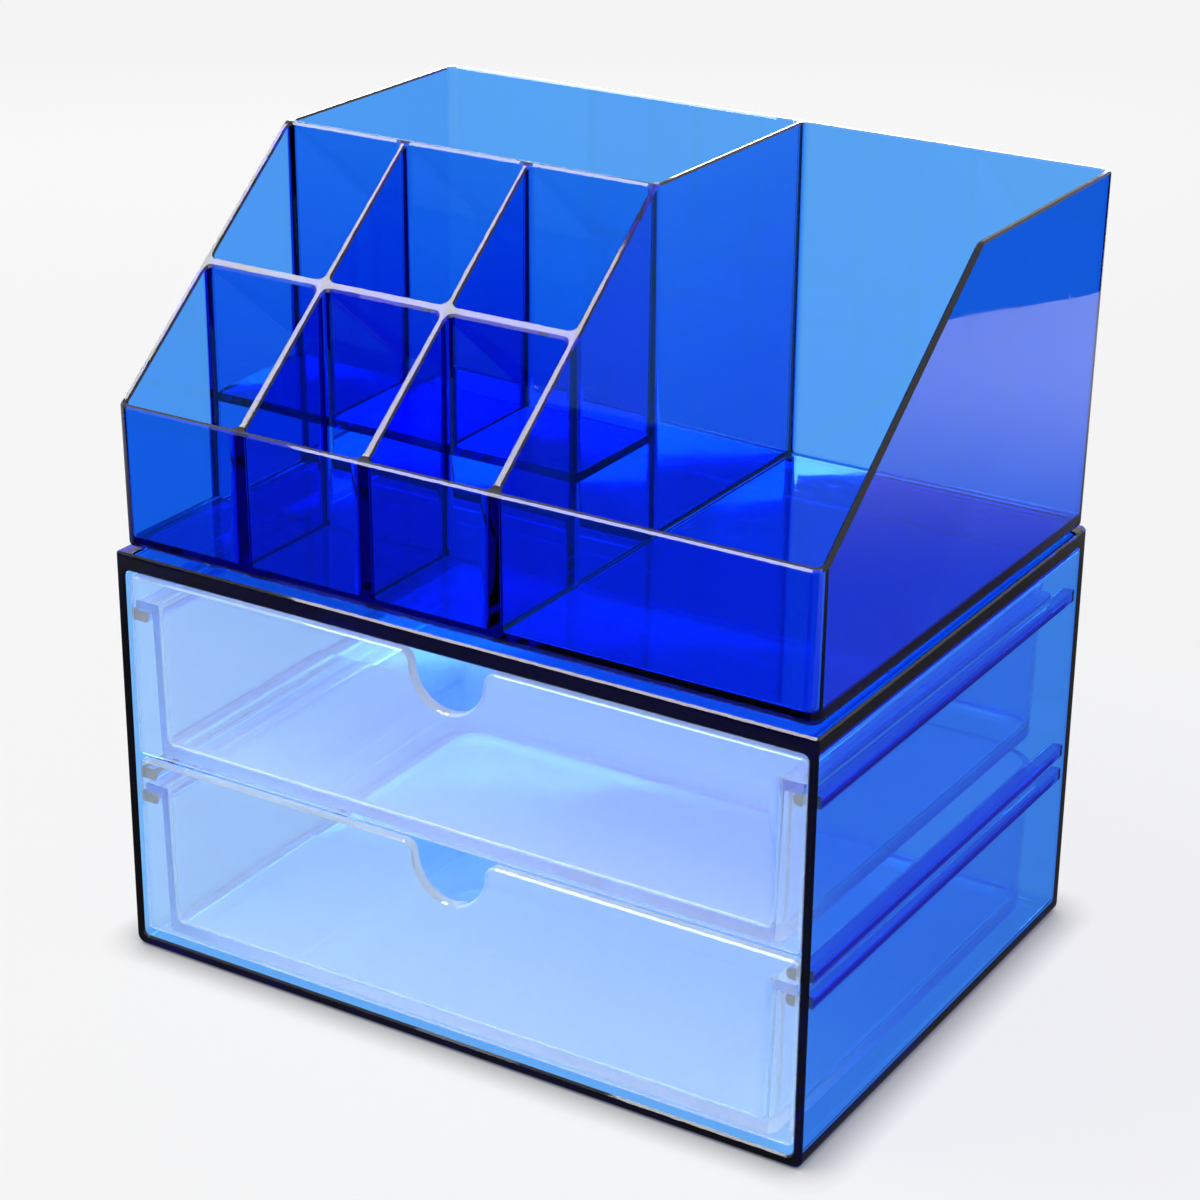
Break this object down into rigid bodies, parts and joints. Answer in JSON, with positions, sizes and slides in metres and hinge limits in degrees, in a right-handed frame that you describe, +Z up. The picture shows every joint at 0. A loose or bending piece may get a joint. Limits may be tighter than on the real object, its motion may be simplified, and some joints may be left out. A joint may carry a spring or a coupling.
{
  "type": "cosmetic organizer",
  "caption": "Transparent blue tabletop organizer: a casing with clear drawers that pull out by finger notches, under a lift-off tray of stepped compartments.",
  "frame": {"origin": "middle of the bounding box's underside, on the surface that the casing stands on", "axes": "+Z up, the drawers open towards -Y, +X to the right as seen from the front"},
  "size_m": [0.24, 0.18, 0.2483],
  "materials": {
    "blue_plastic": "polished transparent cobalt-blue moulding",
    "clear_plastic": "polished clear moulding"
  },
  "bodies": {
    "casing": {"casing": "blue_plastic"},
    "upper_drawer": {"upper_drawer": "clear_plastic"},
    "lower_drawer": {"lower_drawer": "clear_plastic"},
    "top_tray": {"top_tray": "blue_plastic"}
  },
  "joints": [
    {"name": "upper_drawer_slide", "type": "slide", "parent": "casing", "child": "upper_drawer", "axis": [0, -1, 0], "range_m": [0, 0.13]},
    {"name": "lower_drawer_slide", "type": "slide", "parent": "casing", "child": "lower_drawer", "axis": [0, -1, 0], "range_m": [0, 0.13]},
    {"name": "tray_lift", "type": "slide", "parent": "casing", "child": "top_tray", "axis": [0, 0, 1], "range_m": [0, 0.06]}
  ]
}
